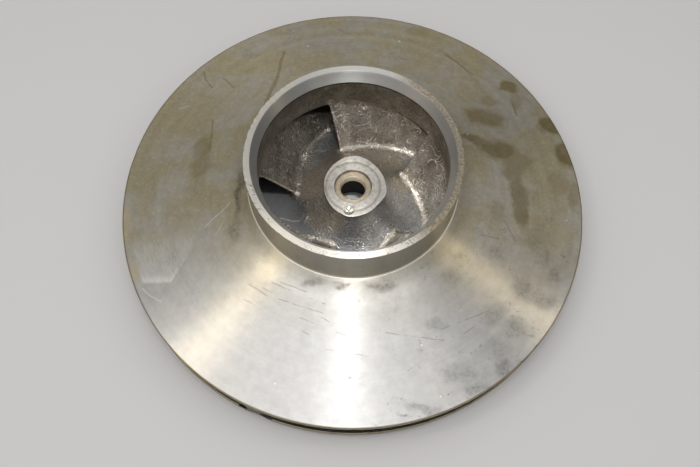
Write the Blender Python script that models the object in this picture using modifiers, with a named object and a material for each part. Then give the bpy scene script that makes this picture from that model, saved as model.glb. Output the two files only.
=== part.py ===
# Closed centrifugal pump impeller lying on its rear hub face, suction eye up.
# The Z axis is the shaft axis. Z = 0 is the rear hub face. All sizes are in metres.

import math
import bpy
import bmesh

# Driving dimensions
impeller_radius = 0.165
vane_count = 5
turned_steps = 60
seam_gap = 0.0003

back_face_height = 0.004
back_rim_thickness = 0.0048
front_rim_height = 0.0275
front_rim_thickness = 0.004
edge_chamfer = 0.0004

# Front shroud: a shallow cone that steepens towards the collar
cone_rim_slope = 0.215
cone_curvature = 0.62
foot_thickness = 0.007
foot_fillet = 0.0012

# Suction eye
collar_radius = 0.0725
collar_top = 0.0846
collar_seam = 0.0575
collar_mouth_radius = 0.0678
throat_radius = 0.064
cone_bottom = 0.0768
lip_radius = 0.065
lip_height = 0.0544
lip_bend = 0.009

# Hub and waterway floor
boss_radius = 0.023
boss_top = 0.0432
bell_height = 0.0322
bell_length = 0.022
hub_seam_radius = 0.040
rear_boss_radius = 0.036
bore_radius = 0.0175
bore_depth = 0.032
hole_radius = 0.0088
counterbore_radius = 0.0129
counterbore_depth = 0.003
groove_radius = 0.019
groove_width = 0.0012
groove_depth = 0.0006
keyway_width = 0.010
keyway_depth = 0.0033
dimple_radius = 0.0033
dimple_depth = 0.0018
dimple_distance = 0.019
dimple_angle = 262

# Vanes
vane_thickness = 0.005
vane_nose_share = 0.36
nose_length = 0.08
vane_wrap = 144
vane_early_growth = 0.72
vane_lead_angle = 31.5
vane_twist = 2.8
vane_root_radius = 0.0412
vane_stations = 30
vane_rows = 5
span_margin = 0.12

# Balancing cuts milled in the rim of the back shroud
balance_cutter_radius = 0.012
balance_cut_depth = 0.0015
balance_angles = (248.5, 317.0)

steel_colour = (0.56, 0.54, 0.49, 1.0)
cast_colour = (0.20, 0.18, 0.15, 1.0)


def clear_scene():
    for item in list(bpy.context.scene.objects):
        bpy.data.objects.remove(item, do_unlink=True)


def new_collection(name):
    collection = bpy.data.collections.new(name)
    bpy.context.scene.collection.children.link(collection)
    return collection


def new_material(name, colour, roughness, metallic):
    material = bpy.data.materials.new(name)
    material.use_nodes = True
    shader = material.node_tree.nodes["Principled BSDF"]
    shader.inputs["Base Color"].default_value = colour
    shader.inputs["Roughness"].default_value = roughness
    shader.inputs["Metallic"].default_value = metallic
    material.diffuse_color = colour
    return material


# Meridional curves: height above Z = 0 at a given radius

def cone_height(radius):
    reach = impeller_radius - radius
    return front_rim_height + cone_rim_slope * reach + cone_curvature * reach ** 2


def cone_slope(radius):
    return cone_rim_slope + 2 * cone_curvature * (impeller_radius - radius)


def roof_height(radius):
    share = (impeller_radius - radius) / (impeller_radius - collar_radius)
    thickness = front_rim_thickness + (foot_thickness - front_rim_thickness) * share ** 2
    return cone_height(radius) - thickness


def floor_height(radius):
    rim_floor = back_face_height + back_rim_thickness
    return rim_floor + bell_height * math.exp((boss_radius - radius) / bell_length)


def floor_slope(radius):
    return (floor_height(radius) - back_face_height - back_rim_thickness) / bell_length


def spaced(start, end, count):
    return [start + (end - start) * i / (count - 1) for i in range(count)]


def arc(centre, radius, start, end, count):
    points = []
    for angle in spaced(math.radians(start), math.radians(end), count):
        points.append((centre[0] + radius * math.cos(angle), centre[1] + radius * math.sin(angle)))
    return points


def lip_bend_points(inset, count):
    # The throat lip turns from the vertical throat to the sloping roof of the waterways
    centre = (lip_radius + lip_bend, lip_height)
    return arc(centre, lip_bend + inset, 180, 250, count)


def throat_radius_at(height):
    share = (cone_bottom - height) / (cone_bottom - lip_height)
    return throat_radius + (lip_radius - throat_radius) * share


def turned(name, profile, collection, material=None):
    # A closed profile off the axis, running down its outer side, turned about Z
    mesh = bpy.data.meshes.new(name)
    corners = [(radius, 0.0, height) for radius, height in profile]
    edges = [(i, (i + 1) % len(corners)) for i in range(len(corners))]
    mesh.from_pydata(corners, edges, [])
    ring = bpy.data.objects.new(name, mesh)
    collection.objects.link(ring)
    screw = ring.modifiers.new("turn", "SCREW")
    screw.angle = math.tau
    screw.steps = turned_steps
    screw.render_steps = turned_steps
    screw.use_merge_vertices = True
    screw.merge_threshold = 0.00001
    if material:
        mesh.materials.append(material)
    return ring


def cut(piece, cutter, operation="DIFFERENCE"):
    boolean = piece.modifiers.new("cut_" + cutter.name, "BOOLEAN")
    boolean.operation = operation
    boolean.object = cutter
    boolean.solver = "EXACT"


def as_guide(cutter):
    cutter.hide_render = True
    cutter.display_type = "WIRE"
    return cutter


def cutter_from(name, build_shape, location, collection, turn=0.0):
    mesh = bpy.data.meshes.new(name)
    shape = bmesh.new()
    build_shape(shape)
    shape.to_mesh(mesh)
    shape.free()
    cutter = bpy.data.objects.new(name, mesh)
    cutter.location = location
    cutter.rotation_euler = (0.0, 0.0, turn)
    collection.objects.link(cutter)
    return as_guide(cutter)


def front_shroud_profile():
    fillet_centre_radius = collar_radius + foot_fillet
    foot_turn = math.degrees(math.atan(cone_slope(fillet_centre_radius)))
    foot_end = 270 - foot_turn
    cone_start = fillet_centre_radius + foot_fillet * math.cos(math.radians(foot_end))
    fillet_centre_height = cone_height(cone_start) - foot_fillet * math.sin(math.radians(foot_end))
    fillet = arc((fillet_centre_radius, fillet_centre_height), foot_fillet, 180, foot_end, 5)
    rim_corner = impeller_radius - edge_chamfer
    cone = [(radius, cone_height(radius)) for radius in spaced(cone_start, rim_corner, 7)[1:]]
    rim = [(impeller_radius, front_rim_height - edge_chamfer),
           (impeller_radius, front_rim_height - front_rim_thickness)]
    lip = lip_bend_points(0.0, 5)
    roof = [(radius, roof_height(radius)) for radius in spaced(impeller_radius, lip[-1][0], 8)[1:-1]]
    throat = [(throat_radius_at(collar_seam), collar_seam)]
    return [(collar_radius, collar_seam)] + fillet + cone + rim + roof + lip[::-1] + throat


def eye_collar_profile():
    bottom = collar_seam + seam_gap
    outer = [(collar_radius - edge_chamfer, collar_top), (collar_radius, collar_top - edge_chamfer),
             (collar_radius, bottom)]
    inner = [(throat_radius_at(bottom), bottom), (throat_radius, cone_bottom),
             (collar_mouth_radius, collar_top)]
    return outer + inner


def back_shroud_profile():
    start = hub_seam_radius
    floor = [(radius, floor_height(radius)) for radius in spaced(start, start * 2, 6)]
    floor += [(radius, floor_height(radius)) for radius in spaced(start * 2, impeller_radius, 4)[1:]]
    back = [(impeller_radius, back_face_height + edge_chamfer),
            (impeller_radius - edge_chamfer, back_face_height), (start, back_face_height)]
    return floor + back


def hub_profile():
    outer_radius = hub_seam_radius - seam_gap
    shoulder = boss_top - counterbore_depth
    groove_floor = boss_top - groove_depth
    boss = [(counterbore_radius, boss_top),
            (groove_radius - groove_width / 2, boss_top), (groove_radius, groove_floor),
            (groove_radius + groove_width / 2, boss_top),
            (boss_radius - edge_chamfer, boss_top), (boss_radius, boss_top - edge_chamfer)]
    bell = [(radius, floor_height(radius)) for radius in spaced(boss_radius, outer_radius, 6)]
    rear = [(outer_radius, back_face_height), (rear_boss_radius, back_face_height),
            (rear_boss_radius, edge_chamfer), (rear_boss_radius - edge_chamfer, 0.0)]
    bore = [(bore_radius, 0.0), (bore_radius, bore_depth), (hole_radius, bore_depth),
            (hole_radius, shoulder), (counterbore_radius, shoulder)]
    return boss + bell + rear + bore


def waterway_profile():
    # The space between the shrouds, held a seam gap away from them
    floor = []
    for radius in spaced(0.030, impeller_radius, 12):
        lift = seam_gap * math.sqrt(1 + floor_slope(radius) ** 2)
        floor.append((radius, floor_height(radius) + lift))
    lip = lip_bend_points(seam_gap, 5)
    roof = []
    for radius in spaced(impeller_radius, lip[-1][0], 8)[:-1]:
        drop = seam_gap * math.sqrt(1 + cone_slope(radius) ** 2)
        roof.append((radius, roof_height(radius) - drop))
    ceiling = cone_bottom - 0.002
    throat = [(throat_radius_at(ceiling) - seam_gap, ceiling), (0.030, ceiling)]
    return (floor + roof + lip[::-1] + throat)[::-1]


def make_front_shroud(collection, steel):
    return turned("front_shroud", front_shroud_profile(), collection, steel)


def make_eye_collar(collection, steel):
    return turned("eye_collar", eye_collar_profile(), collection, steel)


def make_back_shroud(collection, cutters, steel):
    disc = turned("back_shroud", back_shroud_profile(), collection, steel)
    reach = impeller_radius + balance_cutter_radius - balance_cut_depth
    height = back_rim_thickness * 2

    def mill(shape):
        bmesh.ops.create_cone(shape, cap_ends=True, segments=24, radius1=balance_cutter_radius,
                              radius2=balance_cutter_radius, depth=height)

    for number, angle in enumerate(balance_angles, 1):
        turn = math.radians(angle)
        place = (reach * math.cos(turn), reach * math.sin(turn), back_face_height + back_rim_thickness / 2)
        cut(disc, cutter_from(f"balance_cutter_{number}", mill, place, cutters, turn))
    return disc


def make_hub(collection, cutters, steel):
    hub = turned("hub", hub_profile(), collection, steel)

    def key_block(shape):
        bmesh.ops.create_cube(shape, size=1.0)
        size = (keyway_width, bore_radius + keyway_depth, bore_depth * 2)
        bmesh.ops.scale(shape, vec=size, verts=shape.verts)

    def drill_point(shape):
        bmesh.ops.create_cone(shape, cap_ends=True, segments=16, radius1=0.0,
                              radius2=dimple_radius * 2, depth=dimple_depth * 2)

    key_place = (0.0, -(bore_radius + keyway_depth) / 2, 0.0)
    cut(hub, cutter_from("keyway_cutter", key_block, key_place, cutters))
    turn = math.radians(dimple_angle)
    dimple_place = (dimple_distance * math.cos(turn), dimple_distance * math.sin(turn), boss_top)
    cut(hub, cutter_from("dimple_cutter", drill_point, dimple_place, cutters))
    return hub


def vane_point(progress, span):
    # progress runs from the leading edge to the rim, span from the floor to the roof
    growth = vane_early_growth * progress + (1 - vane_early_growth) * progress ** 2
    root_radius = vane_root_radius * (impeller_radius / vane_root_radius) ** growth
    lean = (lip_radius - vane_root_radius) * max(0.0, 1 - progress)
    roof_radius = root_radius + lean
    if roof_radius < lip_radius + lip_bend:
        bend_share = (roof_radius - lip_radius) / lip_bend
        roof_z = lip_height - lip_bend * math.sqrt(max(0.0, 1 - (1 - bend_share) ** 2))
    else:
        roof_z = roof_height(roof_radius)
    floor_z = floor_height(root_radius)
    radius = root_radius + (roof_radius - root_radius) * span
    height = floor_z + (roof_z - floor_z) * span
    start = math.radians(vane_lead_angle + vane_twist * span)
    sweep = math.radians(vane_wrap + vane_twist * span) * progress
    angle = start - sweep
    return radius * math.cos(angle), radius * math.sin(angle), height


def vane_sheet(name, material):
    # The mean surface of one vane, running a little past the floor, the roof and the rim
    points = []
    for station in range(vane_stations):
        progress = 1.03 * station / (vane_stations - 1)
        for row in range(vane_rows):
            span = -span_margin + (1 + 2 * span_margin) * row / (vane_rows - 1)
            points.append(vane_point(progress, span))
    faces = []
    for station in range(vane_stations - 1):
        for row in range(vane_rows - 1):
            first = station * vane_rows + row
            faces.append((first, first + 1, first + 1 + vane_rows, first + vane_rows))
    mesh = bpy.data.meshes.new(name)
    mesh.from_pydata(points, [], faces)
    mesh.materials.append(material)
    return mesh


def make_vane(number, mesh, waterway, collection):
    vane = bpy.data.objects.new(f"vane_{number}", mesh)
    vane.rotation_euler = (0.0, 0.0, math.tau * (number - 1) / vane_count)
    collection.objects.link(vane)
    thickness = vane.vertex_groups.new(name="thickness")
    for index in range(vane_stations * vane_rows):
        progress = (index // vane_rows) / (vane_stations - 1)
        fullness = min(1.0, vane_nose_share + (1 - vane_nose_share) * progress / nose_length)
        thickness.add([index], fullness, "REPLACE")
    solidify = vane.modifiers.new("thickness", "SOLIDIFY")
    solidify.thickness = vane_thickness
    solidify.offset = 0.0
    solidify.vertex_group = "thickness"
    cut(vane, waterway, "INTERSECT")
    return vane


def main():
    clear_scene()
    impeller = new_collection("pump_impeller")
    cutters = new_collection("cutters")
    steel = new_material("machined_steel", steel_colour, 0.34, 1.0)
    cast = new_material("cast_steel", cast_colour, 0.6, 0.9)
    make_front_shroud(impeller, steel)
    make_eye_collar(impeller, steel)
    make_back_shroud(impeller, cutters, steel)
    make_hub(impeller, cutters, steel)
    waterway = as_guide(turned("waterway", waterway_profile(), cutters))
    mesh = vane_sheet("vane", cast)
    for number in range(1, vane_count + 1):
        make_vane(number, mesh, waterway, impeller)


main()
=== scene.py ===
# Closed pump impeller lying on its back, suction eye up: one steel casting with turned outer faces.
# Sizes are in metres unless a comment says otherwise. The shaft axis is Z, the rear hub face is at Z = 0.

import math

import bmesh
import bpy
import numpy as np
from mathutils import Matrix, Vector, noise


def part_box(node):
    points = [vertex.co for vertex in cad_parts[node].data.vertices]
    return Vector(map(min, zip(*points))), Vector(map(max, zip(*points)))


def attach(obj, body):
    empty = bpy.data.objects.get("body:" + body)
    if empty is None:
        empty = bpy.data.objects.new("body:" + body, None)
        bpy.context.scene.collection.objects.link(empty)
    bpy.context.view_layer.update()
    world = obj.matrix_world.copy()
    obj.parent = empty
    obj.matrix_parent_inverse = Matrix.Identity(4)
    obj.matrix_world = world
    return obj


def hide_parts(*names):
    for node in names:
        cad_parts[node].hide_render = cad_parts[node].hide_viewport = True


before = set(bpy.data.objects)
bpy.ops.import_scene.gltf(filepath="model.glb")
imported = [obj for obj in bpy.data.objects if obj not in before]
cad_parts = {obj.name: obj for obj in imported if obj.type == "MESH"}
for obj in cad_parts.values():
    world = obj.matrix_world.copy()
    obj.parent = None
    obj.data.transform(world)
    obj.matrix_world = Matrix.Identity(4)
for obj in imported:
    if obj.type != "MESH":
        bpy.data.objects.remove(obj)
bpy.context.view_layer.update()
frontLow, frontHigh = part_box("front_shroud")
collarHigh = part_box("eye_collar")[1]
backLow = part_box("back_shroud")[0]
hubLow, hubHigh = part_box("hub")
print("frame:", len(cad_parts), "solids of the casting")

# The casting's section, shared by all its pieces
casting = {
    "rim": frontHigh.x,               # outside radius
    "frontEdge": 0.004,               # thickness of the front shroud at the rim
    "backEdge": 0.0048,               # and of the back shroud
    "frontTop": frontLow.z + 0.004,
    "backFace": backLow.z,
    "coneSlope": 0.215,               # the front cone at the rim, and how it steepens inwards
    "coneCurve": 0.62,
    "footThickness": 0.007,
    "collar": collarHigh.x,
    "collarTop": collarHigh.z,
    "collarSeam": frontHigh.z,
    "leadInBottom": 0.0768,
    "throat": 0.064,
    "lip": 0.065,
    "lipHeight": 0.0544,
    "lipBend": 0.009,
    "boss": 0.0230,
    "bossTop": hubHigh.z,
    "bellRise": 0.0322,               # the waterway floor rises to the boss in a bell curve
    "bellLength": 0.022,
    "hubSeam": 0.040,
    "dimple": (262, 0.0192),          # direction and distance of the drill point in the boss
    "turns": 480,                     # steps of a turned piece
}


def coneHeight(radius):
    reach = casting["rim"] - radius
    return casting["frontTop"] + casting["coneSlope"] * reach + casting["coneCurve"] * reach ** 2


def coneSlopeAt(radius):
    return casting["coneSlope"] + 2 * casting["coneCurve"] * (casting["rim"] - radius)


def roofHeight(radius):
    share = (casting["rim"] - radius) / (casting["rim"] - casting["collar"])
    thickness = casting["frontEdge"] + (casting["footThickness"] - casting["frontEdge"]) * share ** 2
    return coneHeight(radius) - thickness


def floorHeight(radius):
    rise = casting["bellRise"] * np.exp((casting["boss"] - radius) / casting["bellLength"])
    return casting["backFace"] + casting["backEdge"] + rise


def throatRadius(height):
    share = (casting["leadInBottom"] - height) / (casting["leadInBottom"] - casting["lipHeight"])
    return casting["throat"] + (casting["lip"] - casting["throat"]) * share


def spread(start, end, count):
    return [start + (end - start) * i / (count - 1) for i in range(count)]


def arc(centre, radius, start, end, count):
    turns = [math.radians(a) for a in spread(start, end, count)]
    return [(centre[0] + radius * math.cos(a), centre[1] + radius * math.sin(a)) for a in turns]


def polar(direction, radius):
    turn = math.radians(direction)
    return radius * math.cos(turn), radius * math.sin(turn)


def onSurface(heightAt, direction, radius):
    # a point of a turned surface, from its direction in degrees and its radius
    return (*polar(direction, radius), float(heightAt(radius)))


def lipArc(count):
    centre = (casting["lip"] + casting["lipBend"], casting["lipHeight"])
    return arc(centre, casting["lipBend"], 180, 250, count)


def bump(angle, centre, width):
    # 1 at the centre, easing to 0 at the width, all in degrees round the axis
    away = abs((angle - centre + 180) % 360 - 180)
    return 0.0 if away >= width else 0.5 + 0.5 * math.cos(math.pi * away / width)


def addObject(name, data):
    item = bpy.data.objects.new(name, data)
    bpy.context.scene.collection.objects.link(item)
    return item


# Camera: the photograph's viewing angle, worked out from the circles of the rim, collar and hub

view = {
    "photo": (700, 467),              # its size in pixels
    "target": (-0.0016, -0.0296, 0.0275),
    "distance": 0.5219,
    "elevation": 65.64,
    "roll": 0.94,
    "lens": 38.0,
    "sensor": 36.0,
}


def placeCamera():
    camera = addObject("camera", bpy.data.cameras.new("camera"))
    camera.data.lens = view["lens"]
    camera.data.sensor_width = view["sensor"]
    camera.data.clip_start = 0.01
    rise = math.radians(view["elevation"])
    away = Vector((0.0, -math.cos(rise), math.sin(rise)))
    camera.location = Vector(view["target"]) + away * view["distance"]
    level = away.to_track_quat("Z", "Y").to_matrix().to_4x4()
    turn = Matrix.Rotation(math.radians(view["roll"]), 4, "Z")
    camera.rotation_euler = (level @ turn).to_euler()
    bpy.context.scene.camera = camera
    return camera


def seenOn(heightAt, x, y):
    # where the line of sight through a pixel of the photo meets a turned surface, to 0.1 mm
    width, depth = view["photo"]
    focal = view["lens"] / view["sensor"] * width
    sight = camera.rotation_euler.to_matrix() @ Vector((x - width / 2, depth / 2 - y, -focal))
    height = view["target"][2]
    for step in range(30):
        spot = camera.location + sight * ((height - camera.location.z) / sight.z)
        height = 0.5 * height + 0.5 * float(heightAt(math.hypot(spot.x, spot.y)))
    return round(spot.x, 4), round(spot.y, 4), height


camera = placeCamera()
print("camera placed")


# Studio: a pale floor and soft lights

studio = {
    "floorSize": 6.0,
    "floorTone": (0.70, 0.70, 0.71, 1.0),
    # the room's tone from straight up down to the horizon
    "roomTones": [
        (0.97, (0.58, 0.575, 0.57, 1.0)), (0.82, (0.66, 0.655, 0.65, 1.0)),
        (0.60, (0.35, 0.35, 0.355, 1.0)), (0.0, (0.20, 0.19, 0.17, 1.0)),
    ],
    "lights": {
        # place, aim, width, watts, tone
        "key": ((-0.008, -0.143, 0.67), (0.0, -0.03, 0.03), 0.05, 0.26, (1.0, 0.99, 0.98)),
        "overhead": ((-0.185, -0.255, 1.465), (0.0, 0.0, 0.0), 1.6, 7.0, (1.0, 0.98, 0.95)),
        "warmLeft": ((-0.40, -0.105, 0.744), (-0.05, -0.03, 0.03), 0.05, 0.22, (1.0, 0.83, 0.55)),
        "warmRight": ((0.425, 0.0, 0.68), (0.05, -0.03, 0.03), 0.04, 0.065, (1.0, 0.82, 0.50)),
        "glintLeft": ((-0.46, -0.155, 0.607), (-0.06, -0.06, 0.04), 0.03, 0.06, (1.0, 0.86, 0.62)),
        "glintRight": ((0.498, -0.043, 0.530), (0.071, -0.046, 0.04), 0.03, 0.10, (1.0, 0.84, 0.55)),
        "glintFront": ((0.25, -0.27, 0.567), (0.036, -0.077, 0.04), 0.02, 0.010, (1.0, 0.86, 0.60)),
    },
    # a small lamp that reaches into the eye: place, aim, width of its beam in degrees, how much of
    # the beam is soft, the lamp's radius, watts
    "eyeLamp": ((0.03, -0.12, 0.70), (0.0, 0.0, 0.05), 12.6, 0.25, 0.012, 8.0),
}


def addLight(name, kind, place, aim, watts):
    light = bpy.data.lights.new(name, kind)
    light.energy = watts
    holder = addObject(name, light)
    holder.location = place
    holder.rotation_euler = (Vector(place) - Vector(aim)).to_track_quat("Z", "Y").to_euler()
    return light


def softLight(name, place, aim, width, watts, tone):
    light = addLight(name, "AREA", place, aim, watts)
    light.shape = "DISK"
    light.size = width
    light.color = tone


def eyeLamp(place, aim, beam, soft, radius, watts):
    light = addLight("eyeLamp", "SPOT", place, aim, watts)
    light.spot_size = math.radians(beam)
    light.spot_blend = soft
    light.shadow_soft_size = radius


def buildStudio():
    world = bpy.data.worlds.new("room")
    world.use_nodes = True
    tree = world.node_tree
    split = tree.nodes.new("ShaderNodeSeparateXYZ")
    tree.links.new(tree.nodes.new("ShaderNodeTexCoord").outputs["Generated"], split.inputs[0])
    tones = tree.nodes.new("ShaderNodeValToRGB")
    tree.links.new(split.outputs["Z"], tones.inputs["Fac"])
    stops = tones.color_ramp.elements
    for height, tone in studio["roomTones"][2:]:
        stops.new(height + 0.1)
    for stop, (height, tone) in zip(stops, sorted(studio["roomTones"])):
        stop.position = height
        stop.color = tone
    tree.links.new(tones.outputs["Color"], tree.nodes["Background"].inputs["Color"])
    bpy.context.scene.world = world
    for name, settings in studio["lights"].items():
        softLight(name, *settings)
    eyeLamp(*studio["eyeLamp"])
    mesh = bpy.data.meshes.new("floor")
    sheet = bmesh.new()
    bmesh.ops.create_grid(sheet, x_segments=2, y_segments=2, size=studio["floorSize"] / 2)
    sheet.to_mesh(mesh)
    sheet.free()
    ground = addObject("floor", mesh)
    ground.location.z = hubLow.z - 0.0001
    paint = bpy.data.materials.new("palePaper")
    paint.use_nodes = True
    shader = paint.node_tree.nodes["Principled BSDF"]
    shader.inputs["Base Color"].default_value = studio["floorTone"]
    shader.inputs["Roughness"].default_value = 0.8
    mesh.materials.append(paint)


buildStudio()
bpy.context.scene.view_settings.view_transform = "Standard"
print("studio built")


# Node helpers

class Wire:
    # A node's output. Sums, products and the like add the maths node that works them out.

    def __init__(self, socket):
        self.socket = socket
        self.tree = socket.id_data

    def math(self, operation, *values, clamp=False):
        single = self.socket.type == "VALUE"
        node = addNode(self.tree, "ShaderNodeMath" if single else "ShaderNodeVectorMath", operation=operation)
        if clamp:
            node.use_clamp = True
        for socket, value in zip(node.inputs, values):
            feed(socket, value)
        single = single or operation in ("LENGTH", "DISTANCE", "DOT_PRODUCT")
        return Wire(node.outputs["Value" if single else "Vector"])

    def __add__(self, other):
        return self.math("ADD", self, other)

    def __sub__(self, other):
        return self.math("SUBTRACT", self, other)

    def __rsub__(self, other):
        return self.math("SUBTRACT", other, self)

    def __mul__(self, other):
        if self.socket.type == "VALUE":
            return self.math("MULTIPLY", self, other)
        node = addNode(self.tree, "ShaderNodeVectorMath", operation="SCALE")
        feed(node.inputs[0], self)
        feed(node.inputs["Scale"], other)
        return Wire(node.outputs["Vector"])

    def __abs__(self):
        return self.math("ABSOLUTE", self)

    def dot(self, other):
        return self.math("DOT_PRODUCT", self, other)

    def length(self):
        return self.math("LENGTH", self)


def addNode(tree, kind, **settings):
    node = tree.nodes.new(kind)
    for name, value in settings.items():
        setattr(node, name, value)
    return node


def feed(socket, value):
    # A socket takes a number, a colour, a vector or a wire
    if isinstance(value, Wire):
        value.tree.links.new(value.socket, socket)
    else:
        socket.default_value = (*value, 1.0) if socket.type == "RGBA" else value


def feedAll(node, names, values):
    for name, value in zip(names, values):
        feed(node.inputs[name], value)


def remap(value, low, high, toLow=0.0, toHigh=1.0, smooth=True):
    node = addNode(value.tree, "ShaderNodeMapRange", interpolation_type="SMOOTHSTEP" if smooth else "LINEAR")
    feedAll(node, ("Value", "From Min", "From Max", "To Min", "To Max"), (value, low, high, toLow, toHigh))
    return Wire(node.outputs["Result"])


def blend(share, first, second, kind="MIX"):
    tree = next(value.tree for value in (share, first, second) if isinstance(value, Wire))
    node = addNode(tree, "ShaderNodeMix", data_type="RGBA", blend_type=kind)
    feedAll(node, ("Factor", "A", "B"), (share, first, second))
    return Wire(node.outputs["Result"])


def shaded(tone, value, low, high, start, end, smooth=False):
    # a tone made darker or lighter by a factor that runs from start to end
    factor = remap(value, low, high, start, end, smooth)
    shade = addNode(factor.tree, "ShaderNodeCombineColor")
    for channel in shade.inputs:
        feed(channel, factor)
    return blend(1.0, tone, Wire(shade.outputs[0]), "MULTIPLY")


def cloud(place, scale, detail=4.0, rough=0.55, twist=0.0, output="Fac"):
    node = addNode(place.tree, "ShaderNodeTexNoise")
    names = ("Vector", "Scale", "Detail", "Roughness", "Distortion")
    feedAll(node, names, (place, scale, detail, rough, twist))
    return Wire(node.outputs[output])


def anyOf(masks):
    total = masks[0]
    for mask in masks[1:]:
        total = total.math("MAXIMUM", total, mask)
    return total


def bodyPlace(tree):
    return Wire(addNode(tree, "ShaderNodeTexCoord").outputs["Object"])


def axes(place):
    node = addNode(place.tree, "ShaderNodeSeparateXYZ")
    feed(node.inputs[0], place)
    return [Wire(output) for output in node.outputs]


def joined(x, y):
    node = addNode(x.tree, "ShaderNodeCombineXYZ")
    feedAll(node, "XY", (x, y))
    return Wire(node.outputs[0])


def flat(place):
    # the place without its height: its length is the distance from the shaft axis
    x, y, z = axes(place)
    return joined(x, y)


def raggedPlace(place, rate, amount, detail=3.0):
    # the place pushed about, so that marks drawn with it get uneven edges
    shove = cloud(place, rate, detail, 0.6, output="Color") - (0.5, 0.5, 0.5)
    return place + shove * amount


def facing(place, direction, halfWidth, soft):
    # 1 where the body looks in a direction round the axis, easing off past the half width, all in degrees
    level = flat(place)
    along = level.math("NORMALIZE", level).dot((*polar(direction, 1.0), 0.0))
    outer = math.cos(math.radians(min(179.0, halfWidth + soft)))
    return remap(along, outer, math.cos(math.radians(halfWidth)))


def facingAny(place, spans):
    return anyOf([facing(place, *span) for span in spans])


def newGroup(name, inputs, outputs):
    # a group, its inputs as wires and the sockets of its outputs
    group = bpy.data.node_groups.new(name, "ShaderNodeTree")
    for label, value in inputs.items():
        kind = "NodeSocketVector" if isinstance(value, tuple) else "NodeSocketFloat"
        socket = group.interface.new_socket(name=label, in_out="INPUT", socket_type=kind)
        socket.default_value = value
    for label in outputs:
        group.interface.new_socket(name=label, in_out="OUTPUT", socket_type="NodeSocketFloat")
    given = {output.name: Wire(output) for output in addNode(group, "NodeGroupInput").outputs if output.name}
    return group, given, addNode(group, "NodeGroupOutput").inputs


def useGroup(tree, group, **values):
    node = addNode(tree, "ShaderNodeGroup", node_tree=group)
    feedAll(node, values.keys(), values.values())
    return {output.name: Wire(output) for output in node.outputs}


def makeLatheLines():
    # Fine rings left by the lathe, which come and go round the axis
    group, given, result = newGroup(
        "latheLines", {"Rings": 1400.0, "Bands": 110.0, "Fade": 0.5}, ["Height", "Tone"])
    place = bodyPlace(group)
    reach = flat(place).length() - axes(place)[2]

    def rings(rate, detail):
        wave = addNode(group, "ShaderNodeTexNoise", noise_dimensions="1D")
        feedAll(wave, ("W", "Scale", "Detail", "Roughness"), (reach * rate, 1.0, detail, 0.7))
        return Wire(wave.outputs["Fac"])

    fine = rings(given["Rings"], 3.0)
    wide = rings(given["Bands"], 5.0)
    keep = 1.0 - remap(cloud(place, 9.0, 3.0), 0.35, 0.65) * given["Fade"]
    feed(result["Height"], (fine - 0.5) * keep + 0.5)
    feed(result["Tone"], fine * 0.45 + wide * 0.55)
    return group


def makeStainPatch():
    # A mark round a centre; its edge is as uneven as the place it's given
    group, given, result = newGroup(
        "stainPatch",
        {"Place": (0.0, 0.0, 0.0), "Centre": (0.0, 0.0, 0.0), "Size": (0.01, 0.01, 0.02), "Feather": 0.2},
        ["Mask", "Edge"])
    away = given["Place"] - given["Centre"]
    far = away.math("DIVIDE", away, given["Size"]).length()
    feed(result["Mask"], remap(far, 1.0 - given["Feather"], 1.0, 1.0, 0.0))
    feed(result["Edge"], remap(abs(far - 0.93), 0.02, 0.09, 1.0, 0.0))
    return group


def makeScratch():
    # A straight mark between two points
    group, given, result = newGroup(
        "scratch",
        {"Place": (0.0, 0.0, 0.0), "From": (0.0, 0.0, 0.0), "To": (0.01, 0.0, 0.0), "Width": 0.0006},
        ["Mask"])
    spot = given["Place"] - given["From"]
    line = given["To"] - given["From"]
    along = spot.dot(line)
    share = along.math("DIVIDE", along, line.dot(line), clamp=True)
    far = spot.math("DISTANCE", spot, line * share)
    feed(result["Mask"], remap(far, given["Width"] * 0.5, given["Width"], 1.0, 0.0))
    return group


def makeSmudges():
    # Handling marks: soft grey clouds with darker flecks in them
    group, given, result = newGroup("smudges", {"Size": 40.0, "Cover": 0.5}, ["Cloud", "Flecks"])
    place = bodyPlace(group)
    soft = cloud(place, given["Size"], 6.0, 0.62, 0.6)
    low = 0.78 - given["Cover"] * 0.4
    feed(result["Cloud"], remap(soft, low, low + 0.2))
    grit = cloud(place, given["Size"] * 9.0, 5.0, 0.7)
    feed(result["Flecks"], remap(grit, 0.56, 0.66) * remap(soft, 0.45, 0.68))
    return group


def makeCastSkin():
    # Sand-cast and hand-dressed metal: mottling, curling pale scratches, coarse and fine grain
    group, given, result = newGroup(
        "castSkin", {"Mottle": 120.0, "Scratches": 90.0, "Grain": 900.0},
        ["Tone", "Scratches", "Grain", "Height"])
    place = bodyPlace(group)
    broad = cloud(place, given["Mottle"], 6.0, 0.66, 0.5)

    def curls(rate, shift, thin, patchRate):
        # thin lines where a soft cloud crosses its middle value
        moved = place + (shift, shift * 0.7, -shift)
        soft = cloud(moved, given["Scratches"] * rate, 1.5, 0.45, 1.6)
        return remap(abs(soft - 0.5), 0.0, thin, 1.0, 0.0) * remap(cloud(moved, patchRate, 4.0), 0.42, 0.58)

    marks = anyOf([curls(1.0, 0.31, 0.034, 60.0), curls(1.7, 0.87, 0.040, 85.0)])
    grain = cloud(place, given["Grain"], 3.0, 0.6)
    feed(result["Scratches"], marks)
    feed(result["Grain"], grain)
    feed(result["Tone"], broad)
    feed(result["Height"], broad * 0.30 + grain * 0.70 + marks * 0.12)
    return group


latheLines = makeLatheLines()
stainPatch = makeStainPatch()
scratch = makeScratch()
smudges = makeSmudges()
castSkin = makeCastSkin()
print("shared effects made:", len(bpy.data.node_groups))


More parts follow.
